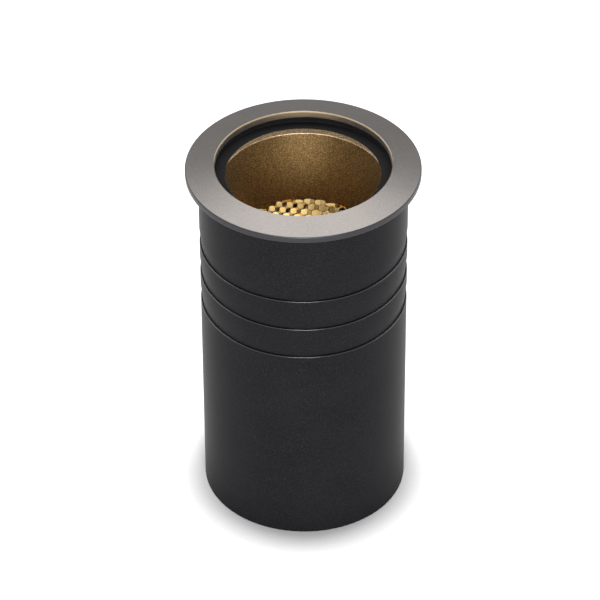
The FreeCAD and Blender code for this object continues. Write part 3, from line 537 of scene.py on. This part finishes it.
def bronze_cup():
    """The glare cup: flat rim, rounded mouth, cone and collar."""
    low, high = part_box("glare_cup")
    louvre_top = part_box("honeycomb_louvre")[1].z
    seat = high.z - CUP_RIM
    collar = COLLAR_BORE + CUP_WALL
    bm = turned([
        (CUP_MOUTH, high.z), (high.x, high.z), (high.x, seat), (CUP_MOUTH + CUP_WALL, seat),
        (collar, louvre_top + CUP_WALL), (collar, low.z), (COLLAR_BORE, low.z),
        (COLLAR_BORE, louvre_top), (CUP_THROAT, louvre_top)])
    rounded(bm, CUP_MOUTH, high.z, CUP_ROUND, 4)
    for face in bm.faces:
        centre = face.calc_center_median()
        if centre.z > high.z - TOUCH:
            face.material_index = 1
        # Index 2, the mouth's round, gets a brighter tint: a painted highlight along its arc.
        elif centre.z > high.z - CUP_ROUND and centre.xy.length < CUP_MOUTH + CUP_ROUND:
            face.material_index = 2
    piece = finished("bronze_cup", bm, "lamp", "bronze_anodised", "glare_cup")
    coat(piece,
         blasted_bronze("cup_blasted_bronze", 0.90, (0.246, 0.166, 0.070), (0.48, 0.34)),
         blasted_bronze("cup_satin_rim", 0.0, (0.455, 0.318, 0.165), (0.60, 0.50)),
         blasted_bronze("cup_mouth_painted_highlight", 1.0, (0.48, 0.356, 0.250), (0.70, 0.60)))


def foil_louvre():
    """Honeycomb of gold foil, a little uneven as expanded foil is, cut round at its rim."""
    low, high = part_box("honeycomb_louvre")
    reach = high.x - LOUVRE_RIM
    corner = CELL_PITCH / math.sqrt(3)
    steps = math.ceil(reach / CELL_PITCH) + 1
    turn = Matrix.Rotation(CELL_TURN, 4, "Z")
    bm = bmesh.new()
    for row in range(-steps, steps + 1):
        for column in range(-steps, steps + 1):
            along = CELL_PITCH * (column + row / 2)
            across = CELL_PITCH * row * math.sqrt(3) / 2
            centre = turn @ Vector((along, across, 0)) + CELL_SHIFT
            if centre.length > reach:
                continue
            place = Matrix.Translation(centre + Vector((0, 0, high.z))) @ turn
            bmesh.ops.create_circle(bm, cap_ends=True, radius=corner, segments=6, matrix=place)
    bmesh.ops.remove_doubles(bm, verts=bm.verts, dist=FOIL_MERGE)
    chance = random.Random(CELL_SEED)
    for vert in bm.verts:
        vert.co.x += chance.uniform(-CELL_JITTER, CELL_JITTER)
        vert.co.y += chance.uniform(-CELL_JITTER, CELL_JITTER)
        if vert.co.xy.length > reach:
            vert.co.xy = vert.co.xy * (reach / vert.co.xy.length)
    cells = bm.faces[:]
    bmesh.ops.inset_individual(bm, faces=cells, thickness=CELL_FOIL / 2, use_even_offset=True)
    bmesh.ops.delete(bm, geom=cells, context="FACES_ONLY")
    grown = bmesh.ops.extrude_face_region(bm, geom=bm.faces[:], use_keep_orig=True)
    foot = [item for item in grown["geom"] if isinstance(item, bmesh.types.BMVert)]
    bmesh.ops.translate(bm, verts=foot, vec=(0, 0, -CELL_DEPTH))
    bm.normal_update()
    for face in bm.faces:
        # Faces that face up or down get the dark brown edge colour.
        face.material_index = 1 if abs(face.normal.z) > CUT_FACE else 0
    piece = finished("foil_louvre", bm, "lamp", "gold_foil", "honeycomb_louvre")
    foil = gold_foil()
    coat(piece, foil, dark_foil_edges())
    rim = turned([(reach, low.z), (high.x, low.z), (high.x, high.z), (reach, high.z)])
    band = finished("louvre_rim", rim, "lamp", "gold_foil", "honeycomb_louvre")
    coat(band, foil)


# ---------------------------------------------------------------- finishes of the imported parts
def dress(material, *names):
    """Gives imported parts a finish."""
    for name in names:
        slots = NODES[name].data.materials
        slots.clear()
        slots.append(material)


def dress_packed_parts():
    """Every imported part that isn't rebuilt keeps its shape and gets its finish here."""
    dress(soft_rubber(), "trim_gasket", "glass_top_gasket", "glass_seat_gasket", "grip_rings",
          "end_cap_oring", "gland_flange_seal", "gland_seal")
    moulded = two_tone("plastic_black", (0.022, 0.022, 0.023), (0.034, 0.034, 0.036),
                       (0.45, 0.62), 0.6, 0.02)
    dress(moulded, "sleeve_base", "optic_holder", "vent_plug")
    cast = two_tone("housing_powder_black", (0.022, 0.022, 0.024), (0.036, 0.036, 0.039),
                    (0.42, 0.60), 0.7, 0.03)
    dress(cast, "lamp_housing", "end_cap")
    steel = two_tone("screw_steel", (0.50, 0.50, 0.51), (0.64, 0.64, 0.65),
                     (0.22, 0.34), 0.4, 0.004, 1.0)
    dress(steel, "louvre_snap_ring", "led_board_screws", "heat_sink_screws",
          "driver_screws", "end_cap_screws")
    machined = two_tone("heat_sink_aluminium", (0.56, 0.57, 0.58), (0.68, 0.69, 0.70),
                        (0.28, 0.42), 0.5, 0.006, 1.0)
    dress(machined, "heat_sink")
    turned_brass = two_tone("standoff_brass", (0.58, 0.44, 0.20), (0.74, 0.58, 0.30),
                            (0.22, 0.36), 0.4, 0.004, 1.0)
    dress(turned_brass, "driver_standoffs")
    nickelled = two_tone("gland_nickel", (0.52, 0.50, 0.46), (0.64, 0.62, 0.57),
                         (0.20, 0.34), 0.4, 0.004, 1.0)
    dress(nickelled, "gland_body", "gland_locknut", "gland_nut")
    dress(optic_painted_glow(), "optic_lens")
    phosphor = two_tone("chip_phosphor", (0.80, 0.62, 0.12), (0.88, 0.74, 0.24),
                        (0.30, 0.45), 0.3, 0.01)
    dress(phosphor, "led_chip")
    mask = two_tone("board_white", (0.74, 0.74, 0.72), (0.82, 0.82, 0.80), (0.35, 0.5), 0.8, 0.01)
    dress(mask, "led_board")
    pad = two_tone("pad_grey", (0.36, 0.38, 0.41), (0.46, 0.48, 0.51), (0.6, 0.8), 0.7, 0.02)
    dress(pad, "thermal_pad")
    sheath = two_tone("lead_white", (0.62, 0.60, 0.56), (0.74, 0.72, 0.68), (0.4, 0.55), 0.5, 0.01)
    dress(sheath, "led_leads")
    laminate = two_tone("board_green", (0.030, 0.150, 0.060), (0.050, 0.210, 0.090),
                        (0.35, 0.5), 0.8, 0.01, patch=4.0)
    dress(laminate, "driver_board")
    tape = two_tone("transformer_tape", (0.48, 0.34, 0.05), (0.60, 0.45, 0.10),
                    (0.3, 0.5), 0.8, 0.02)
    dress(tape, "driver_transformer")
    shrink = two_tone("capacitor_shrink", (0.020, 0.040, 0.090), (0.035, 0.060, 0.130),
                      (0.25, 0.4), 0.8, 0.01)
    dress(shrink, "driver_capacitors")
    sintered = two_tone("inductor_ferrite", (0.050, 0.050, 0.055), (0.085, 0.085, 0.090),
                        (0.5, 0.7), 0.4, 0.02)
    dress(sintered, "driver_inductor")
    terminal = two_tone("terminal_grey", (0.34, 0.36, 0.36), (0.44, 0.46, 0.46),
                        (0.4, 0.55), 0.7, 0.01)
    dress(terminal, "terminal_block")


# ---------------------------------------------------------------- studio
def add_camera():
    """The photograph's viewpoint."""
    back = Vector((0, -math.cos(CAMERA_ELEVATION), math.sin(CAMERA_ELEVATION)))
    data = bpy.data.cameras.new("camera")
    data.lens = CAMERA_LENS
    data.sensor_width = CAMERA_SENSOR
    data.clip_start, data.clip_end = CAMERA_CLIP
    camera = bpy.data.objects.new("camera", data)
    camera.location = CAMERA_TARGET + back * CAMERA_DISTANCE
    camera.rotation_mode = "QUATERNION"
    level = (-back).to_track_quat("-Z", "Y")
    camera.rotation_quaternion = level @ Quaternion((0, 0, 1), -CAMERA_ROLL)
    bpy.context.scene.collection.objects.link(camera)
    bpy.context.scene.camera = camera


def seen_and_lit(tree, seen, lit):
    """A strength for rays that show the background, and another for rays that light the object."""
    path = tree.nodes.new("ShaderNodeLightPath")
    showing = path.outputs["Is Camera Ray"]
    for ray in ("Is Glossy Ray", "Is Transmission Ray"):
        either = tree.nodes.new("ShaderNodeMath")
        either.operation = "MAXIMUM"
        tree.links.new(showing, either.inputs[0])
        tree.links.new(path.outputs[ray], either.inputs[1])
        showing = either.outputs["Value"]
    strength = tree.nodes.new("ShaderNodeMapRange")
    strength.inputs["To Min"].default_value = lit
    strength.inputs["To Max"].default_value = seen
    tree.links.new(showing, strength.inputs["Value"])
    return strength.outputs["Result"]


def add_world():
    """A white room that shows brighter than it lights."""
    world = bpy.data.worlds.new("studio")
    bpy.context.scene.world = world
    world.use_nodes = True
    background = world.node_tree.nodes["Background"]
    background.inputs["Color"].default_value = (1, 1, 1, 1)
    strength = seen_and_lit(world.node_tree, WORLD_SEEN, WORLD_LIT)
    world.node_tree.links.new(strength, background.inputs["Strength"])


def add_floor():
    """A pale floor that shows white, with a painted contact shadow where its glow dims near the
    object.
    """
    bm = bmesh.new()
    bmesh.ops.create_grid(bm, x_segments=1, y_segments=1, size=FLOOR_HALF)
    mesh = bpy.data.meshes.new("floor")
    bm.to_mesh(mesh)
    bm.free()
    floor = bpy.data.objects.new("floor", mesh)
    bpy.context.scene.collection.objects.link(floor)
    finish = Finish("floor_white", 0.0, Specular_IOR_Level=0.0, Roughness=1.0)
    finish.shader.inputs["Base Color"].default_value = (FLOOR_GREY, FLOOR_GREY, FLOOR_GREY, 1)
    finish.shader.inputs["Emission Color"].default_value = (1, 1, 1, 1)
    # Painted shadow: ambient occlusion dims the floor's glow near the object.
    painted_contact_shade = finish.tree.nodes.new("ShaderNodeAmbientOcclusion")
    painted_contact_shade.inputs["Distance"].default_value = CONTACT_SHADOW
    open_floor = finish.spread(painted_contact_shade.outputs["AO"], 0, FLOOR_GLOW, *CONTACT_RANGE)
    shown = finish.tree.nodes.new("ShaderNodeMath")
    shown.operation = "MULTIPLY"
    finish.link(open_floor, shown.inputs[0])
    finish.link(seen_and_lit(finish.tree, 1.0, 0.0), shown.inputs[1])
    finish.link(shown.outputs["Value"], finish.shader.inputs["Emission Strength"])
    mesh.materials.append(finish.material)


def softbox(name, azimuth, elevation, distance, size, power):
    """A rectangular soft light that faces the object, placed by angles in degrees."""
    around, up = math.radians(azimuth), math.radians(elevation)
    way = Vector((math.cos(up) * math.cos(around), math.cos(up) * math.sin(around), math.sin(up)))
    data = bpy.data.lights.new(name, "AREA")
    data.shape = "RECTANGLE"
    data.size, data.size_y = size
    data.energy = power
    light = bpy.data.objects.new(name, data)
    light.location = LIGHT_AIM + way * distance
    light.rotation_mode = "QUATERNION"
    light.rotation_quaternion = way.to_track_quat("Z", "Y")
    bpy.context.scene.collection.objects.link(light)


def add_lights():
    for name, setting in SOFTBOXES.items():
        softbox(name, *setting)


sleeve_shell()
trim_flange()
window_glass()
window_border()
bronze_cup()
foil_louvre()
dress_packed_parts()
add_camera()
add_world()
add_floor()
add_lights()
bpy.context.scene.view_settings.view_transform = "Standard"

bpy.context.view_layer.update()
